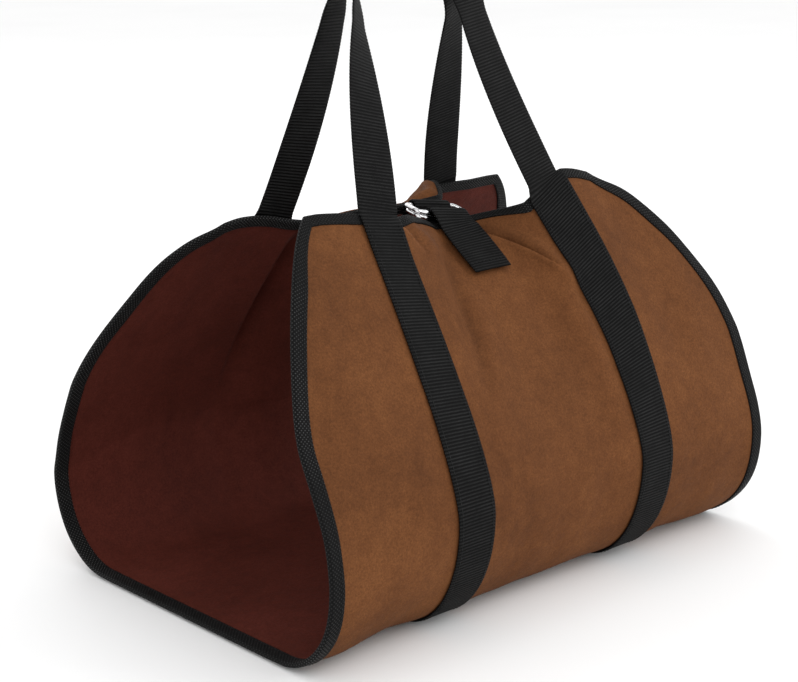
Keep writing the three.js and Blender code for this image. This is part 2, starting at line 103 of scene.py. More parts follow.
# Each panel where it hangs free and where the closure draws it in, with the power and the reach with
# which that fades out to each side; where its top edge stands higher or lower, with marks, half widths
# and heights; its folds, with ends along X and below the top edge, half widths and heights; the rounding
# of its top corners; and the start of its handle's legs
STRAP_CLEAR = STRAP_INNER - 3
FRONT = {
    "sign": -1,
    "free": {"half": 160, "rise": 82, "top_out": 55, "top_z": 285, "lean": 36, "end_pull": 105},
    "drawn": {"half": 157, "rise": 82, "top_out": 23, "top_z": 254.5, "lean": 62, "end_pull": 70},
    "inward": {"left": (1.4, STRAP_CLEAR), "right": (1.7, STRAP_CLEAR)},
    "height": {"left": (0.75, 150), "right": (1.5, STRAP_OUTER)},
    "lean": {"left": (1.4, STRAP_CLEAR), "right": (3, STRAP_CLEAR)},
    "crests": [(116, 24, 3), (150, 20, -5)],
    "folds": [((-4, 10), (-68, 140), 15, -5), ((34, 14), (76, 60), 9, 6), ((-66, 2), (-34, 36), 9, 5)],
    "corner_rounds": {"left": 7, "right": 24},
    "leg_run": (0.28, 0.44),
    "leg_twist": {"left": 37, "right": 11},
}
BACK = {
    "sign": 1,
    "free": {"half": 160, "rise": 82, "top_out": 54, "top_z": 264, "lean": 36, "end_pull": 105},
    "drawn": {"half": 146, "rise": 84, "top_out": 9, "top_z": 263, "lean": 106, "end_pull": 46},
    "inward": {"left": (1.5, STRAP_CLEAR), "right": (2, STRAP_CLEAR)},
    "height": {"left": (1.5, STRAP_CLEAR), "right": (1.5, STRAP_CLEAR)},
    "lean": {"left": (4, STRAP_CLEAR), "right": (3, STRAP_CLEAR)},
    "crests": [(63, 13, 9), (-70, 28, -9), (-150, 14, -2.5)],
    "folds": [((6, 16), (62, 16), 11, 8)],
    "corner_rounds": {"left": 24, "right": 7},
    "leg_run": (0.275, 0.27),
    "leg_twist": {"left": 20, "right": 27},
}

PANELS = (FRONT, BACK)

# Where the bottom corners sag, towards the open ends: marks, half widths and depths
SAGS = [(-225, 45, 18), (225, 45, 9)]

# Where the closure draws the panels in, and which sizes fade out in each way
DRAWN_MIDDLE = 15
DRAWN_FLAT = 22
DRAWN_EASE = 1.15
FADES = {"inward": ("half", "rise", "top_out"), "height": ("top_z",), "lean": ("lean", "end_pull")}

# Creases of the front panel, too fine for the solids: places along X and below the top edge, height
# and half width to the right and to the left of the way down, and the painted light and shade in the
# canvas's colour: how much lighter the line of the crease is painted, partly the waxed canvas's
# pull-up and partly a painted highlight, with that line's half width, and how much darker its left
# side is painted, as painted shade in the recess under the fold
CREASES = [
    {
        "path": [(18, 10), (31, 20), (38, 27), (45, 35), (53, 43), (59, 48), (67, 52)],
        "right": (1.2, 26),
        "left": (-4, 10),
        "pullup_and_painted_light_tones": (0.6, 1.2, -0.3),
    },
    {
        "path": [(-82, -4), (-75, 2), (-68, 10), (-64, 17), (-56, 26)],
        "right": (2, 12),
        "left": (-2.5, 8),
        "pullup_and_painted_light_tones": (0.4, 1.2, -0.22),
    },
    {
        "path": [(-4, 18), (-22, 44), (-29, 65), (-36, 95), (-45, 115), (-52, 138)],
        "right": (-3, 7),
        "left": (-3, 9),
        # The groove's line is painted darker: painted shade along the groove
        "pullup_and_painted_light_tones": (-0.2, 6, 0),
    },
]
CREASE_FADE = 0.6
CREASE_STEP = 1
# How far the painted shade on a crease's left side reaches
CREASE_SHADE = 11

# Painted light: the inside is painted paler near the top of the back panel's right end, where light
# falls on it: middle along X, half widths, amount
MOUTH_PAINTED_LIGHT = {"middle": 118, "along": 45, "down": 45, "amount": 0.6}

# Handles
GRIP_HEIGHT = 520
GRIP_X = -6
GRIP_Y = 7
SPRING_HEIGHT = 488
SPRING_HALF = 46
SPRING_LEAN = 0.1
LEG_PULL = 70
ARCH_RISE = 24
ARCH_RUN = 28
TWIST_START = 300
TURN_HEIGHT = 405
TWIST_POWER = 1.7
CROWN_STEP = WEBBING_THICKNESS + 2 * PIECE_GAP
SPRING_STEP = 6
LEG_ROWS = 160
ARCH_ROWS = 60

# Closure
CLOSURE_X = 13
RING_WIRE = 3.6
RING_HALF_WIDTH = 23.6
RING_FRONT = 14
RING_BACK = 4
RING_POWER = 6
RING_TILT = math.radians(11)
RING_YAW = -0.06
RING_ROLL = -0.14
RING_BAR = (-0.2, 260.5)
RING_STEP = 4
RING_SHIFT = 0.8
BASE_DROP = 30
TAIL_START = 10
TAIL_DROP = 56
TAIL_GAP = 0.7
TAIL_STAND_OFF = 1.5
LOOP_TUCK = 30
EDGE_CLEAR = 2
CLOSURE_SLACK = 0.5
TURN_SHARE = 0.25
BASE_ROWS = 24
TAIL_ROWS = 30
PATH_STEPS = 40

# Turns round the rings: ring, degrees from the back over the top, slack beyond a close fit
CLOSURE_TURNS = [(0, 320, 1), (0, 10, 1), (1, 30, 0.8), (1, 90, 0.8), (1, 150, 1)]
LOOP_TURNS = [(0, 10, 2.2), (1, 15, 2), (1, 90, 0.7), (1, 165, 0.8), (0, 195, 0.8), (0, 270, 0.8)]

# Offsets from the middle of the canvas to the middle of a piece that lies on it
TAPE_OUTER = CANVAS_THICKNESS / 2 + PIECE_GAP + TAPE_THICKNESS
SEWN_LIFT = CANVAS_THICKNESS / 2 + STRAP_GAP + WEBBING_THICKNESS / 2
OVER_TAPE_LIFT = TAPE_OUTER + PIECE_GAP + WEBBING_THICKNESS / 2
TAIL_LIFT = OVER_TAPE_LIFT + TAIL_GAP

# Small wrinkles of the canvas: a sum of seeded waves, calmer under the straps
WRINKLE_SEED = 11
WRINKLE_WAVES = 26
WRINKLE_LENGTHS = (34, 120)
WRINKLE_HEIGHT = 0.9
WRINKLE_CALM = 26
WRINKLE_START = (0.7, 1.3)  # stations between which they set in

# Webbing's ribs and rounded edges
RIB_PITCH = 2.4
RIB_ROWS = 5
RIB_DEPTH = 0.42
RIB_POWER = 0.55
ACROSS_SHARES = np.array([-1, -0.985, -0.93, -0.5, 0, 0.5, 0.93, 0.985, 1])
ACROSS_HEIGHTS = np.array([0.3, 0.72, 1, 1, 1, 1, 1, 0.72, 0.3])

# Pitches of the tape's diamond weave, the canvas's plain weave and the webbing's threads
DIAMOND_PITCH = 3
WEAVE_PITCH = 0.9
THREAD_PITCH = 1.1

# Slope steps on the cloth
MARK_STEP = 1
STATION_STEP = 0.01

TOP_STATION = 3


def mix(start, end, share):
    return start + (end - start) * share


def ease(value, low, high):
    share = np.clip((value - low) / (high - low), 0, 1)
    return share * share * (3 - 2 * share)


def unit(vectors):
    return vectors / np.linalg.norm(vectors, axis=-1, keepdims=True)


def dots(one, other):
    return np.einsum("ij,ij->i", one, other)


def as_arrays(*values):
    return np.broadcast_arrays(*(np.asarray(value, float) for value in values))


def spread_over(spans):
    """Even steps over spans of start, end and count, without the last end."""
    return np.concatenate([np.linspace(*span, endpoint=False) for span in spans])


def joined(*parts):
    """Rows of places, normals and the like of several parts, one part after the other."""
    return [np.concatenate(rows) for rows in zip(*parts)]


def lengths_along(points):
    steps = np.linalg.norm(np.diff(points, axis=0), axis=-1)
    return np.concatenate([[0], np.cumsum(steps)])


def looped(points):
    """Points with the first one again at the end."""
    return np.concatenate([points, points[:1]])


def by_column(change, rows):
    """Rows of which each column is changed by a function."""
    columns = [change(column) for column in rows.reshape(len(rows), -1).T]
    return np.stack(columns, -1).reshape(-1, *rows.shape[1:])


def resampled(rows, run, places):
    """Rows at other places along a line, from rows at the lengths of its run."""
    return by_column(lambda column: np.interp(places, run, column), rows)


def bell(value, middle, spread):
    return np.exp(-(((value - middle) / spread) ** 2))


def bezier(controls, share):
    a, b, c, d = controls
    rest = 1 - share
    return a * rest**3 + 3 * b * rest**2 * share + 3 * c * rest * share**2 + d * share**3


def bezier_run(controls, share):
    a, b, c, d = controls
    rest = 1 - share
    return 3 * ((b - a) * rest**2 + 2 * (c - b) * rest * share + (d - c) * share**2)


def station_at(drop):
    return TOP_STATION - drop / WALL_LENGTH


def drop_at(station):
    return (TOP_STATION - station) * WALL_LENGTH


def by_side(table, x):
    return np.where(x < 0, table["left"], table["right"])


def gather_at(x, station):
    """How far a strap on that side is drawn towards the middle."""
    return by_side(GATHERS, x) * np.maximum(0, 1 - drop_at(station) / GATHER_DROP) ** GATHER_POWER


def along_x(mark, station):
    """Where a mark of the cloth, its place along X before the gathering, comes to lie."""
    share = np.minimum(1, np.abs(mark) / STRAP_INNER)
    return mark - np.sign(mark) * share * gather_at(mark, station)


def mark_at(x, station):
    return x / (1 - gather_at(x, station) / STRAP_INNER)


def drawn_amount(fading, mark):
    """How much the closure draws a panel in, from 1 in the middle to 0."""
    away = mark - DRAWN_MIDDLE
    power, reach = (by_side({side: fading[side][i] for side in SIDES}, away) for i in range(2))
    room = np.abs(by_side(SIDES, away) * reach - DRAWN_MIDDLE) - DRAWN_FLAT
    share = np.clip((np.abs(away) - DRAWN_FLAT) / room, 0, 1)
    return (1 - share**power) ** DRAWN_EASE


def panel_at(panel, mark):
    """The panel's own sizes at a mark."""
    sizes = {}
    for way, names in FADES.items():
        amount = drawn_amount(panel[way], mark)
        for name in names:
            sizes[name] = mix(panel["free"][name], panel["drawn"][name], amount)
    for middle, spread, height in panel["crests"]:
        sizes["top_z"] = sizes["top_z"] + height * bell(mark, middle, spread)
    for middle, spread, depth in SAGS:
        sizes["rise"] = sizes["rise"] - depth * bell(mark, middle, spread)
    return sizes


def section_point(panel, mark, station):
    """The section without folds: flat bottom, rounded corner, leaning wall."""
    mark, station = as_arrays(mark, station)
    size = panel_at(panel, mark)
    turn = (np.clip(station, 1, 2) - 1) * math.pi / 2
    corner_out = mix(FLAT_HALF, size["half"], np.sin(turn))
    corner_up = size["rise"] * (1 - np.cos(turn))
    tilt = np.radians(size["lean"])
    pull_out = size["top_out"] + size["end_pull"] * np.sin(tilt)
    pull_up = size["top_z"] - size["end_pull"] * np.cos(tilt)
    share = np.maximum(station, 2) - 2
    start_pull = size["rise"] + WALL_START_PULL
    wall_out = bezier((size["half"], size["half"], pull_out, size["top_out"]), share)
    wall_up = bezier((size["rise"], start_pull, pull_up, size["top_z"]), share)
    out = np.where(station <= 1, FLAT_HALF * station, np.where(station <= 2, corner_out, wall_out))
    up = np.where(station <= 1, 0, np.where(station <= 2, corner_up, wall_up))
    return np.stack([along_x(mark, station), panel["sign"] * out, up], -1)


def outward(surface, panel, mark, station):
    """The outward normal of a surface given as a function of panel, mark and station."""
    along = surface(panel, mark + MARK_STEP, station) - surface(panel, mark - MARK_STEP, station)
    up = surface(panel, mark, station + STATION_STEP) - surface(panel, mark, station - STATION_STEP)
    return unit(np.cross(along, up) * -panel["sign"])


def to_line(place, start, end):
    """The nearest share of a straight line to each place, the offset from it and the distance."""
    run = end - start
    share = np.clip((place - start) @ run / (run @ run), 0, 1)
    offset = place - start - share[..., None] * run
    return share, offset, np.linalg.norm(offset, axis=-1)


def fold_lift(panel, x, drop):
    """How far the folds lift a place of a panel."""
    lift = np.zeros(np.shape(x))
    place = np.stack([x, drop], -1)
    for start, end, spread, height in panel["folds"]:
        share, _, distance = to_line(place, *np.array([start, end], float))
        lift += height * np.sin(math.pi * share) * bell(distance, 0, spread)
    return lift


def crease_at(crease, x, drop):
    """Distance to a crease, whether a place lies to its right, and how strong the crease is there."""
    place = np.stack([x, drop], -1)
    corners = np.array(crease["path"], float)
    lengths = lengths_along(corners)
    nearest, strength = np.full(np.shape(x), np.inf), np.zeros(np.shape(x))
    right = np.zeros(np.shape(x), bool)
    for start, end, before, after in zip(corners, corners[1:], lengths, lengths[1:]):
        share, offset, distance = to_line(place, start, end)
        nearer = distance < nearest
        run = end - start
        side = run[0] * offset[..., 1] - run[1] * offset[..., 0] > 0
        fade = np.sin(math.pi * mix(before, after, share) / lengths[-1]).clip(0) ** CREASE_FADE
        right = np.where(nearer, side, right)
        strength = np.where(nearer, fade, strength)
        nearest = np.minimum(nearest, distance)
    return nearest, right, strength


def crease_lift(x, drop):
    """How far the creases lift a place of the front panel."""
    lift = np.zeros(np.shape(x))
    for crease in CREASES:
        distance, right, strength = crease_at(crease, x, drop)
        sides = [crease[side] for side in SIDES]
        heights = [height * bell(distance, 0, width) for height, width in sides]
        share = ease(np.where(right, distance, -distance), -CREASE_STEP, CREASE_STEP)
        lift += strength * mix(*heights, share)
    return lift


def crease_pullup_and_painted_light(x, drop):
    """How much lighter or darker the creases paint a place of the front panel: painted highlights along
    their lines, partly the waxed canvas's pull-up, and painted shade.
    """
    pullup_and_painted_light = np.zeros(np.shape(x))
    for crease in CREASES:
        distance, right, strength = crease_at(crease, x, drop)
        line, width, left = crease["pullup_and_painted_light_tones"]
        # Painted shade on the crease's left side, in the recess under the fold
        shade = np.where(right, 0, left * np.exp(-distance / CREASE_SHADE))
        # The line is painted lighter, partly the waxed canvas's pull-up and partly a painted highlight,
        # or darker as painted shade along the groove
        pullup_and_painted_light += strength * (line * bell(distance, 0, width) + shade)
    return pullup_and_painted_light


def mouth_painted_light(x, drop):
    """How much lighter the inside of the back panel is painted, as painted light near the top of its
    right end.
    """
    along = bell(x, MOUTH_PAINTED_LIGHT["middle"], MOUTH_PAINTED_LIGHT["along"])
    return MOUTH_PAINTED_LIGHT["amount"] * along * bell(drop, 0, MOUTH_PAINTED_LIGHT["down"])


def even_stations(step):
    """Stations from the bottom's middle to the top edge, about a step apart along the cloth."""
    spans = [(start, start + 1, int(length / step)) for start, length in enumerate(CLOTH_LENGTHS)]
    return np.append(spread_over(spans), TOP_STATION)


def cloth_run(panel, station):
    """Length along the cloth from the bottom's middle, negative on the front."""
    flat = FLAT_HALF * np.clip(station, 0, 1)
    corner = CORNER_LENGTH * np.clip(station - 1, 0, 1)
    return panel["sign"] * (flat + corner + WALL_LENGTH * np.maximum(station - 2, 0))


def make_waves():
    draw = np.random.default_rng(WRINKLE_SEED)
    lengths = draw.uniform(*WRINKLE_LENGTHS, WRINKLE_WAVES)
    turns = draw.uniform(0, math.pi, WRINKLE_WAVES)
    starts = draw.uniform(0, 2 * math.pi, WRINKLE_WAVES)
    heights = lengths / max(WRINKLE_LENGTHS) * WRINKLE_HEIGHT * math.sqrt(2 / WRINKLE_WAVES)
    return [*zip(lengths, turns, starts, heights)]


WAVES = make_waves()


def wrinkle_lift(panel, mark, station):
    """Small soft wrinkles, none under the straps."""
    run = cloth_run(panel, station)
    lift = np.zeros(np.broadcast(mark, station).shape)
    for length, turn, start, height in WAVES:
        place = mark * math.cos(turn) + run * math.sin(turn)
        lift = lift + height * np.sin(2 * math.pi * place / length + start)
    calm = 1 - np.exp(-(((np.abs(mark) - STRAP_SPREAD) / WRINKLE_CALM) ** 4))
    return lift * calm * ease(station, *WRINKLE_START)


def cloth_point(panel, mark, station, creased=True):
    """The middle of the cloth, with its folds, wrinkles and creases."""
    mark, station = as_arrays(mark, station)
    point = section_point(panel, mark, station)
    folds = fold_lift(panel, point[..., 0], drop_at(station))
    if creased and panel is FRONT:
        folds = folds + crease_lift(point[..., 0], drop_at(station))
    lift = wrinkle_lift(panel, mark, station) + np.where(station > 2, folds, 0)
    return point + outward(section_point, panel, mark, station) * lift[..., None]


def uncreased_point(panel, mark, station):
    return cloth_point(panel, mark, station, creased=False)


def on_cloth(panel, mark, station, lift, surface=cloth_point):
    """Places on the cloth, lifted off it, with the normals there."""
    mark, station, lift = as_arrays(mark, station, lift)
    normal = outward(surface, panel, mark, station)
    return surface(panel, mark, station) + normal * lift[..., None], normal


def edge_mark(panel, side, station):
    """The mark of the sheet's edge on one side at a station, from the carrier's middle."""
    share = np.maximum(0, 1 - drop_at(station) / SHOULDER_DROP)
    taper = SHOULDER_TAPERS[side] * share**SHOULDER_POWER
    half = BODY_LENGTH / 2 - taper - panel["corner_rounds"][side] * share**TOP_CORNER_POWER
    return half + gather_at(SIDES[side], station)


# Meshes


def placed(points):
    """Points of the carrier's frame in metres in the part's frame."""
    return (np.asarray(points) - (GRIP_X, GRIP_Y, GRIP_HEIGHT)) / MM_PER_M


def grid_quads(rows, columns, close_rows=False, close_columns=False):
    """Quads of a grid of vertices, and of the unwrapped grid that holds the pattern's places."""
    r = np.arange(rows if close_rows else rows - 1)[:, None]
    c = np.arange(columns if close_columns else columns - 1)[None, :]
    corners = [(r, c), (r, c + 1), (r + 1, c + 1), (r + 1, c)]
    quads = [(a % rows) * columns + b % columns for a, b in corners]
    wide = columns + 1
    unwrapped = [a * wide + b for a, b in corners]
    return np.stack(quads, -1).reshape(-1, 4), np.stack(unwrapped, -1).reshape(-1, 4)


def outward_facing(points, quads):
    """True if the closed mesh's quads face out."""
    a, b, c, d = (points[quads[:, i]] for i in range(4))
    return dots(a, np.cross(b, c) + np.cross(c, d)).sum() > 0


def linked(name, data):
    """A new object in the scene."""
    made = bpy.data.objects.new(name, data)
    bpy.context.scene.collection.objects.link(made)
    return made


def new_object(name, points, faces, materials, pattern=None, face_slots=None, pullup_and_painted_light_tones=None):
    """A smooth mesh object.

    The pattern gives each face corner a place in millimetres for weaves and ribs, and painted light
    values make points lighter or darker: painted highlights and shade, with the waxed canvas's pull-up
    along creases.
    """
    mesh = bpy.data.meshes.new(name)
    mesh.from_pydata(placed(points).tolist(), [], [face.tolist() for face in faces])
    for made in materials:
        mesh.materials.append(made)
    if face_slots is not None:
        mesh.polygons.foreach_set("material_index", np.asarray(face_slots, np.int32))
    if pattern is not None:
        layer = mesh.uv_layers.new(name="pattern")
        layer.data.foreach_set("uv", (np.concatenate(pattern) / MM_PER_M).astype(np.float32).ravel())
    if pullup_and_painted_light_tones is not None:
        layer = mesh.attributes.new("pullup_and_painted_light", "FLOAT", "POINT")
        layer.data.foreach_set("value", pullup_and_painted_light_tones.astype(np.float32))
    mesh.shade_smooth()
    mesh.validate()
    made = linked(name, mesh)
    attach(made, "root")
    return made


def stands_for(made, node):
    """Puts a finished piece in the place of a solid."""
    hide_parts(node)
    return made


def swept(name, rings, runs, girths, material, closed=False):
    """A closed tube through rings of points: runs along it and girths round it, in millimetres."""
    count, around = rings.shape[:2]
    points = rings.reshape(-1, 3)
    quads, unwrapped = grid_quads(count, around, close_rows=closed, close_columns=True)
    places = np.stack(np.meshgrid(runs, girths, indexing="ij"), -1).reshape(-1, 2)
    faces, pattern = list(quads), list(places[unwrapped])
    if not closed:
        for ring, way in ((0, -1), (count - 1, 1)):
            corners = np.arange(around)[::way]
            faces.append(ring * around + corners)
            pattern.append(places[ring * (around + 1) + corners])
    if not outward_facing(points, quads):
        faces = [face[::-1] for face in faces]
        pattern = [corner[::-1] for corner in pattern]
    return new_object(name, points, faces, [material], pattern)


def circles(side, up, count):
    """Unit circles of points round places, from their side and up directions."""
    angle = np.linspace(0, 2 * math.pi, count, endpoint=False)[None, :, None]
    return side[:, None] * np.cos(angle) + up[:, None] * np.sin(angle)


# Materials

# Sockets of a colour mix node: factor, both colours and the result
MIX_INPUTS = (0, 6, 7)
MIX_OUTPUT = 2


class Shader:
    """A node material whose constant values are set on its Principled shader."""

    def __init__(self, name, **values):
        self.material = bpy.data.materials.new(name)
        self.material.use_nodes = True
        self.nodes = self.material.node_tree.nodes
        self.nodes.clear()
        self.shader = self.node("BsdfPrincipled", **values)
        output = self.node("OutputMaterial")
        self.link(self.shader.outputs["BSDF"], output.inputs["Surface"])

    def node(self, kind, settings=None, **values):
        made = self.nodes.new("ShaderNode" + kind)
        for name, value in (settings or {}).items():
            setattr(made, name, value)
        for name, value in values.items():
            made.inputs[name.replace("_", " ")].default_value = value
        return made

    def link(self, source, target):
        self.material.node_tree.links.new(source, target)

    def feed(self, value, socket):
        """Links an output to a socket, or sets the socket to a value, or leaves it if there is none."""
        if isinstance(value, bpy.types.NodeSocket):
            self.link(value, socket)
        elif value is not None:
            socket.default_value = value

    def noise(self, scale, detail=4, roughness=0.55):
        """Noise over the object's own metres."""
        place = self.node("TexCoord").outputs["Object"]
        made = self.node("TexNoise", Scale=scale, Detail=detail, Roughness=roughness)
        self.link(place, made.inputs["Vector"])
        return made.outputs["Fac"]

    def pattern(self):
        """The two coordinates of the pattern, in millimetres."""
        place = self.node("UVMap", {"uv_map": "pattern"})
        split = self.node("SeparateXYZ")
        self.link(place.outputs["UV"], split.inputs["Vector"])
        return [self.math("MULTIPLY", split.outputs[axis], MM_PER_M) for axis in ("X", "Y")]

    def math(self, operation, first, second=None):
        made = self.node("Math", {"operation": operation})
        for value, socket in zip((first, second), made.inputs):
            self.feed(value, socket)
        return made.outputs[0]

    def wave(self, place, pitch):
        """A wave from 0 to 1 with that pitch."""
        turn = self.math("MULTIPLY", place, 2 * math.pi / pitch)
        return self.math("MULTIPLY", self.math("ADD", self.math("SINE", turn), 1), 0.5)

    def ramp(self, factor, *stops):
        """Colours at places from 0 to 1."""
        made = self.node("ValToRGB")
        ramp = made.color_ramp
        while len(ramp.elements) < len(stops):
            ramp.elements.new(0.5)
        for element, (place, colour) in zip(ramp.elements, stops):
            element.position = place
            element.color = (*colour, 1)
        self.link(factor, made.inputs["Fac"])
        return made.outputs["Color"]

    def greys(self, factor, *stops):
        """Greys at places from 0 to 1."""
        return self.ramp(factor, *((place, (value,) * 3) for place, value in stops))

    def blend(self, factor, first, second, way="MIX"):
        """Two colours mixed by a factor, which may be a number."""
        made = self.node("Mix", {"data_type": "RGBA", "blend_type": way})
        for value, index in zip((factor, first, second), MIX_INPUTS):
            self.feed(value, made.inputs[index])
        return made.outputs[MIX_OUTPUT]

    def bumps(self, *layers):
        """Bumps over one another, each a height from 0 to 1 and what that is in metres."""
        normal = None
        for height, distance in layers:
            made = self.node("Bump", Distance=distance)
            self.link(height, made.inputs["Height"])
            self.feed(normal, made.inputs["Normal"])
            normal = made.outputs["Normal"]
        return normal

    def finish(self, colour=None, roughness=None, normal=None):
        for name, source in (("Base Color", colour), ("Roughness", roughness), ("Normal", normal)):
            self.feed(source, self.shader.inputs[name])
        return self.material


def canvas_material(name, dark, plain, light):
    """Waxed canvas: mottled, with a fine nap and a faint plain weave, with each point's painted light
    and shade, partly the pull-up along creases, multiplied into its colour.
    """
    made = Shader(name, Specular_IOR_Level=0.08)
    broad = made.math("MULTIPLY", made.noise(14, 5), 0.6)
    small = made.math("MULTIPLY", made.noise(110, 4), 0.4)
    mottle = made.math("ADD", broad, small)
    colour = made.ramp(mottle, (0.3, dark), (0.5, plain), (0.7, light))
    nap = made.noise(650, 4, 0.8)
    speckles = made.greys(nap, (0.3, 0.2), (0.7, 0.8))
    speckled = made.blend(0.5, colour, speckles, "OVERLAY")
    # Painted light and shade: painted highlights and shade along the creases and painted light inside
    # the mouth, multiplied into the colour; the crease lines are partly the waxed canvas's pull-up
    pullup_and_painted_light = made.node("Attribute", {"attribute_name": "pullup_and_painted_light"}).outputs["Fac"]
    with_pullup_and_painted_light = made.blend(1.0, speckled, made.math("ADD", pullup_and_painted_light, 1), "MULTIPLY")
    along, up = made.pattern()
    weave = made.math("MULTIPLY", made.wave(along, WEAVE_PITCH), made.wave(up, WEAVE_PITCH))
    normal = made.bumps((weave, 0.00006), (nap, 0.00018), (made.noise(160, 5), 0.0006))
    roughness = made.greys(mottle, (0.3, 0.72), (0.7, 0.88))
    return made.finish(with_pullup_and_painted_light, roughness, normal)


def webbing_material():
    """Black webbing: threads along the strap, seen between its ribs, with painted shade in the grooves
    between the ribs.
    """
    made = Shader("webbing", Specular_IOR_Level=0.07, Roughness=0.6)
    along, across = made.pattern()
    threads = made.wave(across, THREAD_PITCH)
    ribs = made.wave(made.math("SUBTRACT", along, RIB_PITCH / 4), RIB_PITCH)
    fuzz = made.noise(900, 4, 0.65)
    uneven = made.math("ADD", made.noise(70, 3), 0.5)
    # Painted shade: the colour is darker in the grooves between the ribs
    shade = made.math("MULTIPLY", made.math("ADD", made.math("MULTIPLY", threads, 0.4), fuzz), ribs)
    shade = made.math("MULTIPLY", shade, uneven)
    colour = made.greys(shade, (0.1, 0.0016), (0.5, 0.006), (0.8, 0.019))
    normal = made.bumps((made.math("MULTIPLY", threads, ribs), 0.00022), (fuzz, 0.0001))
    return made.finish(colour, None, normal)


def tape_material():
    """Black binding tape in a small diamond weave, with painted highlights where threads cross over,
    glinting more in random patches.
    """
    made = Shader("edge_tape", Specular_IOR_Level=0.12)
    along, across = made.pattern()
    one = made.wave(made.math("ADD", along, across), DIAMOND_PITCH)
    other = made.wave(made.math("SUBTRACT", along, across), DIAMOND_PITCH)
    diamonds = made.math("MULTIPLY", one, other)
    # Painted highlights: the weave's crossings are painted lighter, much more so in the bright ramp
    plain = made.greys(diamonds, (0.25, 0.0025), (0.6, 0.006), (0.9, 0.02))
    bright = made.greys(diamonds, (0.25, 0.003), (0.6, 0.009), (0.9, 0.075))
    # Random patches where the painted highlights glint brightest
    painted_glint_patches = made.greys(made.noise(9, 2), (0.45, 0), (0.6, 1))
    colour = made.blend(painted_glint_patches, plain, bright)
    normal = made.bumps((diamonds, 0.0005), (made.noise(1200, 3), 0.0001))
    roughness = made.greys(diamonds, (0.2, 0.75), (0.9, 0.42))
    return made.finish(colour, roughness, normal)


def ring_material():
    """Bright plated wire with faint drawing marks."""
    made = Shader("ring_metal", Metallic=1, Base_Color=(0.86, 0.86, 0.87, 1))
    marks = made.noise(700, 3)
    roughness = made.greys(marks, (0.3, 0.1), (0.7, 0.2))
    return made.finish(None, roughness, made.bumps((marks, 0.00004)))


def thread_material():
    """Black sewing thread, twisted."""
    made = Shader("thread", Specular_IOR_Level=0.12, Roughness=0.55)
    fuzz = made.noise(2500, 3)
    colour = made.greys(fuzz, (0.3, 0.004), (0.7, 0.016))
    return made.finish(colour, None, made.bumps((fuzz, 0.0001)))


def floor_material():
    """Plain pale studio floor."""
    made = Shader("floor", Roughness=0.9, Specular_IOR_Level=0.1)
    return made.finish(made.greys(made.noise(2, 2), (0.3, 0.95), (0.7, 0.97)))


# Dark, plain and light colours of the canvas outside and inside
COLOURS_OUT = ((0.09, 0.0325, 0.0108), (0.122, 0.0455, 0.0157), (0.156, 0.0605, 0.0215))
COLOURS_IN = ((0.06, 0.0128, 0.0083), (0.08, 0.017, 0.011), (0.1, 0.022, 0.0148))
CANVAS_OUT = canvas_material("canvas", *COLOURS_OUT)
CANVAS_IN = canvas_material("canvas_inside", *COLOURS_IN)
WEBBING = webbing_material()
TAPE = tape_material()
RING_METAL = ring_material()
THREAD = thread_material()


# Canvas

# Columns of the mesh up to the outer edge of each strap: from mark, to mark and count
CANVAS_COLUMNS = {
    "left": [(0, 50, 18), (50, STRAP_INNER, 24), (STRAP_INNER, STRAP_OUTER, 8)],
    "right": [(0, 24, 8), (24, STRAP_INNER, 46), (STRAP_INNER, STRAP_OUTER, 8)],
}
OUTER_COLUMNS = 24
# Rows of a panel from the bottom's middle to the top edge: from station, to station and count
FINE_DROP = 62  # below the top edge, where the finer rows start
FINE_STATION = station_at(FINE_DROP)
CANVAS_ROWS = [(0, 1, 18), (1, 2, 22), (2, FINE_STATION, 52), (FINE_STATION, TOP_STATION, 44)]


def canvas_marks(panel, stations):
    """Marks from the left edge to the right one, for a column of stations."""
    shares = np.linspace(0, 1, OUTER_COLUMNS + 1)
    halves = {}
    for side in SIDES:
        inner = spread_over(CANVAS_COLUMNS[side])
        outer = mix(STRAP_OUTER, edge_mark(panel, side, stations), shares)
        halves[side] = np.concatenate([np.broadcast_to(inner, (len(stations), len(inner))), outer], 1)
    return np.concatenate([-halves["left"][:, :0:-1], halves["right"]], 1)


def sheet_faces(rows, columns):
    """Faces of an outer grid, of the inner grid after it and of the rim between them, with slots."""
    count = rows * columns
    quads, _ = grid_quads(rows, columns)
    grid = np.arange(count).reshape(rows, columns)
    border = np.concatenate([grid[0, :-1], grid[:-1, -1], grid[-1, :0:-1], grid[:0:-1, 0]])
    following = np.roll(border, -1)
    rim = np.stack([border, border + count, following + count, following], -1)
    faces = np.concatenate([quads, quads[:, ::-1] + count, rim[:, ::-1]])
    return faces, np.repeat([0, 1, 0], [len(quads), len(quads), len(rim)])


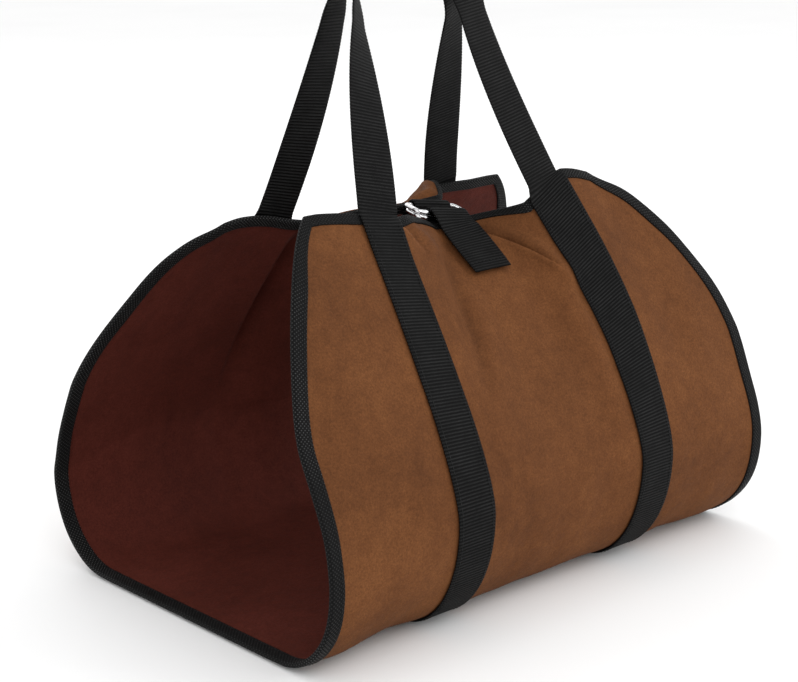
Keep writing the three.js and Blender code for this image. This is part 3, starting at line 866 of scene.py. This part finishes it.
def make_canvas():
    stations = np.append(spread_over(CANVAS_ROWS), TOP_STATION)[:, None]
    parts = []
    for panel in PANELS:
        rows = stations[::-1] if panel is FRONT else stations[1:]
        marks = canvas_marks(panel, rows)
        place, normal = on_cloth(panel, marks, rows, 0)
        x, drops, runs = as_arrays(place[..., 0], drop_at(rows), cloth_run(panel, rows))
        plain = np.zeros(marks.shape)
        # Painted highlights and shade of the creases, partly the waxed canvas's pull-up, on the outside
        outside = crease_pullup_and_painted_light(x, drops) if panel is FRONT else plain
        # Painted light on the inside of the back panel near its mouth
        inside = mouth_painted_light(x, drops) if panel is BACK else plain
        parts.append((place, normal, np.stack([marks, runs], -1), outside, inside))
    place, normal, pattern, outside, inside = joined(*parts)
    lift = normal * CANVAS_THICKNESS / 2
    points = np.concatenate([place + lift, place - lift]).reshape(-1, 3)
    faces, slots = sheet_faces(*place.shape[:2])
    if not outward_facing(points, faces):
        faces = faces[:, ::-1]
    flat = np.concatenate([pattern.reshape(-1, 2)] * 2)
    pullup_and_painted_light = np.concatenate([outside, inside]).ravel()
    materials = [CANVAS_OUT, CANVAS_IN]
    sheet = new_object("canvas_sheet", points, faces, materials, flat[faces], slots, pullup_and_painted_light)
    return stands_for(sheet, "canvas")


# Edge tape

TAPE_STEP = 2.5
TAPE_WIDENS = 40  # below the top edge, where the tape has its full width
# Section of the tape: share of its width in from the edge, and height over the middle of the cloth
TAPE_FACE = [(1, 0.45), (0.985, 0.8), (0.94, 0.96), (0.86, 1), (0.55, 1), (0.25, 1), (0.06, 1)]
TAPE_RIM_DEGREES = [60, 30, 0, -30, -60]
TAPE_LINING = [(0.5, -1), (0, -1), (0, 1), (0.5, 1)]  # share of the width, and face, of its inside
TAPE_INSIDE = CANVAS_THICKNESS / 2 + PIECE_GAP / 2


def panel_border(panel):
    """The edge of one panel: up on the left from the bottom's middle, over the top, down on the right.

    Its columns are the mark and the length along the cloth from the bottom's middle.
    """
    stations = even_stations(TAPE_STEP)
    runs = np.abs(cloth_run(panel, stations))
    left, right = (SIDES[side] * edge_mark(panel, side, stations) for side in SIDES)
    top = np.linspace(left[-1], right[-1], int((right[-1] - left[-1]) / TAPE_STEP))[1:-1]
    marks = np.concatenate([left, top, right[::-1]])
    return np.stack([marks, np.concatenate([runs, np.full(len(top), runs[-1]), runs[::-1]])], -1)


def border_inside(border):
    """The tape's inner border, square to the edge and narrower along the top."""
    run = unit(np.diff(border, axis=0))
    before, after = np.concatenate([run[:1], run]), np.concatenate([run, run[-1:]])
    along = unit(before + after)
    mitre = dots(along, after)
    inward = np.stack([along[:, 1], -along[:, 0]], -1) / mitre[:, None]
    drop = border[:, 1].max() - border[:, 1]
    width = mix(TOP_TAPE_WIDTH, TAPE_WIDTH, ease(drop, 0, TAPE_WIDENS))
    return border + inward * width[:, None]


def tape_borders():
    """Outer and inner border of the tape on each panel, as marks and stations, round the whole edge."""
    spans = np.cumsum([0, *CLOTH_LENGTHS])
    borders = []
    for panel in PANELS:
        outer = panel_border(panel)
        pair = np.stack([outer, border_inside(outer)])
        pair[..., 1] = np.interp(pair[..., 1], spans, range(len(spans)))
        borders.append(pair if panel is FRONT else pair[:, -2:0:-1])
    return borders


def tape_places(borders, share):
    """Places and normals of the cloth at a share of the tape's width in from the edge."""
    lines = [mix(*pair, share).T for pair in borders]
    return joined(*(on_cloth(panel, *line, 0) for panel, line in zip(PANELS, lines)))


def tape_edge_frame(borders):
    """Places, normals and outward directions of the sheet's edge."""
    places, normals = tape_places(borders, 0)
    inner, _ = tape_places(borders, 1)
    run = np.roll(places, -1, 0) - np.roll(places, 1, 0)
    out = unit(np.cross(run, normals))
    out *= np.sign(dots(out, places - inner))[:, None]
    return places, normals, out


def make_tape():
    borders = tape_borders()
    edge, edge_normal, out = tape_edge_frame(borders)
    reach = PIECE_GAP + TAPE_THICKNESS

    def line_at(share, height):
        place, normal = tape_places(borders, share)
        return place + normal * height

    section = [line_at(share, height * TAPE_OUTER) for share, height in TAPE_FACE]
    for degrees in TAPE_RIM_DEGREES:
        turn = math.radians(degrees)
        section.append(edge + out * reach * math.cos(turn) + edge_normal * TAPE_OUTER * math.sin(turn))
    section += [line_at(share, -height * TAPE_OUTER) for share, height in TAPE_FACE[::-1]]
    section += [line_at(share, side * TAPE_INSIDE) for share, side in TAPE_LINING]
    rings = np.stack(section, 1)
    runs, girths = (lengths_along(looped(line)) for line in (edge, rings[0]))
    tape = swept("edge_tape", rings, runs, girths, TAPE, closed=True)
    return stands_for(tape, "edge_binding")


# Webbing

ACROSS = ACROSS_SHARES * WEBBING_WIDTH / 2
STRAP_ROW_STEP = 2
SMOOTH_LENGTH = 5


def strap_lift(station):
    climb = np.clip((CLIMB_DROP - drop_at(station)) / (CLIMB_DROP - TOP_TAPE_WIDTH), 0, 1)
    return mix(SEWN_LIFT, OVER_TAPE_LIFT, climb)


def across_rows(middle, side, normal):
    """Places and normals across a ribbon, from its middle line and the way that its width lies."""
    points = middle[:, None] + side[:, None] * ACROSS[None, :, None]
    return points, np.broadcast_to(normal[:, None], points.shape)


def ribbon_rows(middle, run, width, facing):
    """Rows of a free ribbon whose width is square to its run."""
    run = unit(run)
    side = unit(width - run * dots(width, run)[:, None])
    return across_rows(middle, side, np.cross(run, side) * facing)


def leg_turn(panel, side, height):
    """The turn of a leg's width about the upright, in degrees from the X direction."""
    seen = panel["leg_twist"][side]
    low = seen * np.maximum(0, (height - TWIST_START) / (TURN_HEIGHT - TWIST_START)) ** TWIST_POWER
    high = mix(seen, -90 * SIDES[side], ease(height, TURN_HEIGHT, SPRING_HEIGHT))
    return np.where(height < TURN_HEIGHT, low, high)


def handle_rows(panel, side):
    """One leg of a handle and half of its crown."""
    sign = SIDES[side]
    facing = -sign * panel["sign"]
    outside = 1 if panel is BACK else 0

    def out_of(run):
        return outside * unit(np.stack([sign * run[..., 2], 0 * run[..., 0], -sign * run[..., 0]], -1))

    lean = unit(np.array([-sign * SPRING_LEAN, 0, 1]))
    top = on_cloth(panel, sign * STRAP_SPREAD, TOP_STATION, OVER_TAPE_LIFT)[0]
    run_x, run_y = panel["leg_run"]
    start = unit(np.array([-sign * run_x, -panel["sign"] * run_y, 1]))
    spring = np.array([GRIP_X + sign * SPRING_HALF, GRIP_Y, SPRING_HEIGHT], float)
    crown = np.array([GRIP_X, GRIP_Y, GRIP_HEIGHT + WEBBING_THICKNESS / 2])
    leg_end = spring + out_of(lean) * SPRING_STEP
    leg = (top, top + start * LEG_PULL, leg_end - lean * LEG_PULL, leg_end)
    arch = (spring, spring + lean * ARCH_RISE, crown + (sign * ARCH_RUN, 0, 0), crown)

    share = np.linspace(0, 1, LEG_ROWS)[1:, None]
    middle = bezier(leg, share)
    turn = np.radians(leg_turn(panel, side, middle[:, 2]))
    width = -sign * np.stack([np.cos(turn), np.sin(turn), 0 * turn], -1)
    leg_part = ribbon_rows(middle, bezier_run(leg, share), width, facing)

    share = np.linspace(0, 1, ARCH_ROWS)[1:, None]
    run = bezier_run(arch, share)
    middle = bezier(arch, share) + out_of(run) * mix(SPRING_STEP, CROWN_STEP, share)
    arch_part = ribbon_rows(middle, run, np.broadcast_to((0.0, 1.0, 0.0), run.shape), facing)
    return joined(leg_part, arch_part)


def strap_half(panel, side):
    """Half of a strap, from the bottom's middle up a side of a panel and the handle to its crown."""
    stations = even_stations(STRAP_ROW_STEP)
    stations[0] = PIECE_GAP / FLAT_HALF
    marks = SIDES[side] * (STRAP_SPREAD - ACROSS)
    sewn = on_cloth(panel, marks[None, :], stations[:, None], strap_lift(stations)[:, None])
    return joined(sewn, handle_rows(panel, side))


def smoothed(rows, step):
    """Rows at even steps with sharp bends eased, ends kept."""
    reach = int(SMOOTH_LENGTH / step)
    weights = np.hanning(2 * reach + 3)[1:-1]
    weights /= weights.sum()
    padded = np.pad(rows, ((reach, reach), (0, 0), (0, 0)), mode="edge")
    eased = by_column(lambda column: np.convolve(column, weights, "valid"), padded)
    share = np.minimum(np.arange(len(rows)), np.arange(len(rows))[::-1]) / max(1, reach)
    return mix(rows, eased, np.clip(share, 0, 1)[:, None, None])


def make_webbing(name, node, points, normals):
    """Ribbed webbing through rows of places and normals."""
    run = lengths_along(points[:, len(ACROSS) // 2])
    ribs = max(1, round(run[-1] / RIB_PITCH))
    even = np.linspace(0, run[-1], ribs * RIB_ROWS + 1)
    points = smoothed(resampled(points, run, even), even[1])
    normals = unit(smoothed(resampled(normals, run, even), even[1]))
    swell = np.abs(np.sin(math.pi * even * ribs / run[-1])) ** RIB_POWER
    half = WEBBING_THICKNESS / 2 - RIB_DEPTH * (1 - swell)
    lift = normals * (half[:, None] * ACROSS_HEIGHTS)[..., None]
    rings = np.concatenate([points + lift, (points - lift)[:, ::-1]], 1)
    girths = np.concatenate([ACROSS, 2 * WEBBING_WIDTH + ACROSS, [3 * WEBBING_WIDTH]])
    made = swept(name, rings, even * ribs * RIB_PITCH / run[-1], girths, WEBBING)
    stands_for(made, node)


def make_strap(name, node, panel):
    left, right = (strap_half(panel, side) for side in SIDES)
    rows = joined(left, [part[-2::-1] for part in right])
    make_webbing(name, node, *rows)


# Closure


def ring_place(level):
    """Middles of a ring's flatter side, rounded side and whole, along Y and Z, lower ring first."""
    along = np.array([math.cos(RING_TILT), math.sin(RING_TILT)])
    bar = np.array(RING_BAR) + level * RING_STEP * np.array([-along[1], along[0]])
    return {
        "bar": bar,
        "front": bar - along * (RING_FRONT + RING_BACK),
        "middle": bar - along * RING_BACK,
    }


def wrap_points(turns, side):
    """Points of a path round the rings' wires."""
    points = []
    for level, degrees, slack in turns:
        radius = RING_WIRE / 2 + PIECE_GAP + WEBBING_THICKNESS / 2 + slack
        turn = math.radians(degrees)
        points.append(ring_place(level)[side] + radius * np.array([math.cos(turn), math.sin(turn)]))
    return points


def through_points(points):
    """A smooth curve through points, with even speed at each of them."""
    points = np.array(points)
    held = np.concatenate([[2 * points[0] - points[1]], points, [2 * points[-1] - points[-2]]])
    gaps = np.linalg.norm(np.diff(held, axis=0), axis=1) ** 0.5
    share = np.linspace(0, 1, PATH_STEPS, endpoint=False)[:, None]
    curve = []
    for i in range(1, len(held) - 2):
        a, b, c, d = held[i - 1 : i + 3]
        before, here, after = gaps[i - 1 : i + 2]
        start = ((b - a) / before - (c - a) / (before + here) + (c - b) / here) * here
        end = ((c - b) / here - (d - b) / (here + after) + (d - c) / after) * here
        curve.append(bezier((b, b + start / 3, c - end / 3, c), share))
    return np.concatenate([*curve, points[-1:]])


def path_rows(path, facing):
    """Rows of closure webbing along a smooth path, turned to the rings' direction between its ends."""
    curve = through_points(path)
    run = lengths_along(curve)
    share = run / run[-1]
    turned = ease(share, 0, TURN_SHARE) * ease(1 - share, 0, TURN_SHARE)
    middle = np.column_stack([np.full(len(curve), CLOSURE_X), curve])
    width = np.column_stack([np.ones(len(curve)), RING_YAW * turned, RING_ROLL * turned])
    normal = unit(np.cross(np.gradient(middle, axis=0), width)) * facing
    return across_rows(middle[1:-1], width[1:-1], normal[1:-1])


def closure_rows(panel, drops, lifts, facing=1):
    """Rows of closure webbing that lie on a panel and bridge its creases."""
    station = station_at(drops)[:, None]
    mark = mark_at(CLOSURE_X + ACROSS[None, :], station)
    points, normals = on_cloth(panel, mark, station, lifts[:, None], uncreased_point)
    return [points, normals * facing]


def middle_of(row):
    return row[len(ACROSS) // 2, 1:]


def tail_lift(drops):
    return TAIL_LIFT + TAIL_STAND_OFF * drops / TAIL_DROP


def make_closure_piece(name, node, first, second, turns, side, facing):
    """Closure webbing from rows on a panel round the rings' wires to rows on a panel."""
    path = [middle_of(first[0][-1]), *wrap_points(turns, side), middle_of(second[0][0])]
    make_webbing(name, node, *joined(first, path_rows(path, facing), second))


def make_closure_strap():
    drops = np.linspace(BASE_DROP, 0, BASE_ROWS)
    base = closure_rows(FRONT, drops, -CLOSURE_SLACK - strap_lift(station_at(drops)))
    drops = np.linspace(TAIL_START, TAIL_DROP, TAIL_ROWS)
    tail = closure_rows(FRONT, drops, tail_lift(drops), -1)
    make_closure_piece("closure_webbing", "closure_strap", base, tail, CLOSURE_TURNS, "front", -1)


def make_ring_loop():
    drops = np.linspace(LOOP_TUCK, -EDGE_CLEAR, BASE_ROWS)
    upper_lift = OVER_TAPE_LIFT + CLOSURE_SLACK
    lower_lift = upper_lift + WEBBING_THICKNESS + CLOSURE_SLACK
    upper = closure_rows(BACK, drops, np.full(len(drops), -upper_lift))
    lower = closure_rows(BACK, drops[::-1], np.full(len(drops), -lower_lift), -1)
    make_closure_piece("ring_loop_webbing", "ring_loop", upper, lower, LOOP_TURNS, "bar", 1)


RING_STEPS = 120
WIRE_SIDES = 18


def make_ring(name, node, level):
    """A ring: round wire swept round a rounded D."""
    turn = np.linspace(0, 2 * math.pi, RING_STEPS, endpoint=False)

    def bend(value):
        return np.sign(value) * np.abs(value) ** (2 / RING_POWER)

    depth = np.where(np.sin(turn) > 0, RING_BACK, RING_FRONT)
    line = np.stack([RING_HALF_WIDTH * bend(np.cos(turn)), depth * bend(np.sin(turn)), 0 * turn], -1)
    run = lengths_along(looped(line))
    even = np.linspace(0, run[-1], RING_STEPS, endpoint=False)
    line = resampled(looped(line), run, even)
    tangent = unit(np.roll(line, -1, 0) - np.roll(line, 1, 0))
    out = np.stack([tangent[:, 1], -tangent[:, 0], 0 * turn], -1)
    up = np.broadcast_to((0, 0, 1), out.shape)
    local = line[:, None] + circles(out, up, WIRE_SIDES) * RING_WIRE / 2

    ring_run = unit(np.array([1, RING_YAW, RING_ROLL]))
    ring_depth = np.array([0, math.cos(RING_TILT), math.sin(RING_TILT)])
    ring_depth = unit(ring_depth - ring_run * (ring_depth @ ring_run))
    turned = local @ np.stack([ring_run, ring_depth, np.cross(ring_run, ring_depth)])
    y, z = ring_place(level)["middle"]
    middle = np.array([CLOSURE_X, y, z]) + ring_run * RING_SHIFT * (1 if level == 0 else -1)
    girths = np.linspace(0, math.pi * RING_WIRE, WIRE_SIDES + 1)
    ring = swept(name, turned + middle, np.append(even, run[-1]), girths, RING_METAL, closed=True)
    stands_for(ring, node)


# Stitches

STITCH_PITCH = 3.6
STITCH_LENGTH = 2.8
THREAD_WIDTH = 0.7
# Shape of a stitch: place along it, thickness and sink at its ends
STITCH_SHAPE = [(-0.5, 0.35, -0.5), (-0.32, 0.95, -0.08), (0.32, 0.95, -0.08), (0.5, 0.35, -0.5)]
STITCH_SIDES = 5
SLOPE_STEP = 0.5  # along a seam, to find its direction


def make_stitches(name, lines):
    """Stitches along lines of places with normals, as one mesh of many short threads."""
    parts = []
    for points, normals in lines:
        run = lengths_along(points)
        even = np.arange(STITCH_PITCH / 2, run[-1], STITCH_PITCH)
        ahead = resampled(points, run, even + SLOPE_STEP)
        behind = resampled(points, run, even - SLOPE_STEP)
        up = unit(resampled(normals, run, even))
        parts.append((resampled(points, run, even), unit(ahead - behind), up))
    middle, along, up = joined(*parts)
    ring = circles(np.cross(up, along), up, STITCH_SIDES)
    rings = []
    for place, thickness, sink in STITCH_SHAPE:
        centre = middle + along * place * STITCH_LENGTH + up * sink * THREAD_WIDTH
        rings.append(centre[:, None] + ring * thickness * THREAD_WIDTH / 2)
    points = np.stack(rings, 1)
    each = len(STITCH_SHAPE) * STITCH_SIDES
    quads, _ = grid_quads(len(STITCH_SHAPE), STITCH_SIDES, close_columns=True)
    cap = np.arange(STITCH_SIDES)
    template = [*quads, cap[::-1], cap + each - STITCH_SIDES]
    if not outward_facing(points[0].reshape(-1, 3), quads):
        template = [face[::-1] for face in template]
    faces = [face + i * each for i in range(len(middle)) for face in template]
    stitches = new_object(name, points.reshape(-1, 3), faces, [THREAD])
    return stitches


SEAM_INSET = 3
SEAM_START = 0.02  # station
SEAM_ROWS = 119
TAPE_SEAM_SHARE = 0.78
HEM = 7


def strap_seams():
    """Lines of stitches near both edges of each strap where it is sewn to the canvas."""
    top = station_at(TOP_TAPE_WIDTH)
    stations = np.append(spread_over([(SEAM_START, 2, SEAM_ROWS), (2, top, SEAM_ROWS)]), top)
    lift = strap_lift(stations) + WEBBING_THICKNESS / 2
    inset = WEBBING_WIDTH / 2 - SEAM_INSET
    marks = [side * (STRAP_SPREAD + edge) for side in SIDES.values() for edge in (-inset, inset)]
    return [on_cloth(panel, mark, stations, lift) for panel in PANELS for mark in marks]


def tape_seams():
    """A line of stitches along the tape's inner border on each face of the sheet."""
    place, normal = tape_places(tape_borders(), TAPE_SEAM_SHARE)
    return [(place + normal * side * TAPE_OUTER, normal * side) for side in (1, -1)]


def tail_seam():
    """The stitches that hold the hem of the tail's end."""
    drops = np.array([TAIL_DROP - HEM])
    lift = tail_lift(drops) + WEBBING_THICKNESS / 2
    points, normals = closure_rows(FRONT, drops, lift)
    return [(points[0, 1:-1], normals[0, 1:-1])]


# Stage


def make_camera():
    data = bpy.data.cameras.new("camera")
    data.sensor_width = SENSOR_WIDTH
    data.lens = FOCAL_PIXELS / IMAGE_WIDTH * SENSOR_WIDTH
    camera = linked("camera", data)
    camera.location = CAMERA_PLACE
    camera.rotation_euler = (math.radians(90 - CAMERA_PITCH), 0, math.radians(CAMERA_AZIMUTH))
    bpy.context.scene.camera = camera


# Soft boxes: place and size in metres, and power in watts
LIGHTS = {
    "key": ((-1.6, -1.9, 1.5), 1.8, 16),
    "fill": ((1.9, -1.6, 0.9), 2.2, 26),
    "rim": ((0.4, 2.2, 1.6), 1.6, 14),
}
LIGHT_AIM = (0, 0, -0.35)
WORLD_STRENGTH = 1


def make_lights():
    for name, (place, size, power) in LIGHTS.items():
        data = bpy.data.lights.new(name, "AREA")
        data.size = size
        data.energy = power
        made = linked(name, data)
        made.location = place
        run = Vector(LIGHT_AIM) - Vector(place)
        made.rotation_euler = run.to_track_quat("-Z", "Y").to_euler()
    world = bpy.data.worlds.new("studio")
    world.use_nodes = True
    background = world.node_tree.nodes["Background"]
    background.inputs["Color"].default_value = (1, 1, 1, 1)
    background.inputs["Strength"].default_value = WORLD_STRENGTH
    bpy.context.scene.world = world
    bpy.context.scene.view_settings.view_transform = "Standard"


def make_floor():
    height = cad_box[0].z - FLOOR_GAP
    corners = [(-1, -1), (1, -1), (1, 1), (-1, 1)]
    places = [(x * FLOOR_HALF, y * FLOOR_HALF, height) for x, y in corners]
    mesh = bpy.data.meshes.new("floor")
    mesh.from_pydata(places, [], [(0, 1, 2, 3)])
    mesh.materials.append(floor_material())
    floor = linked("floor", mesh)


make_camera()
make_lights()
make_floor()

canvas = make_canvas()
tape = make_tape()
make_strap("front_webbing", "front_strap", FRONT)
make_strap("back_webbing", "back_strap", BACK)
make_closure_strap()
make_ring_loop()
make_ring("ring_lower", "d_ring_lower", 0)
make_ring("ring_upper", "d_ring_upper", 1)
strap_stitches = make_stitches("strap_stitches", strap_seams() + tail_seam())
tape_stitches = make_stitches("tape_stitches", tape_seams())
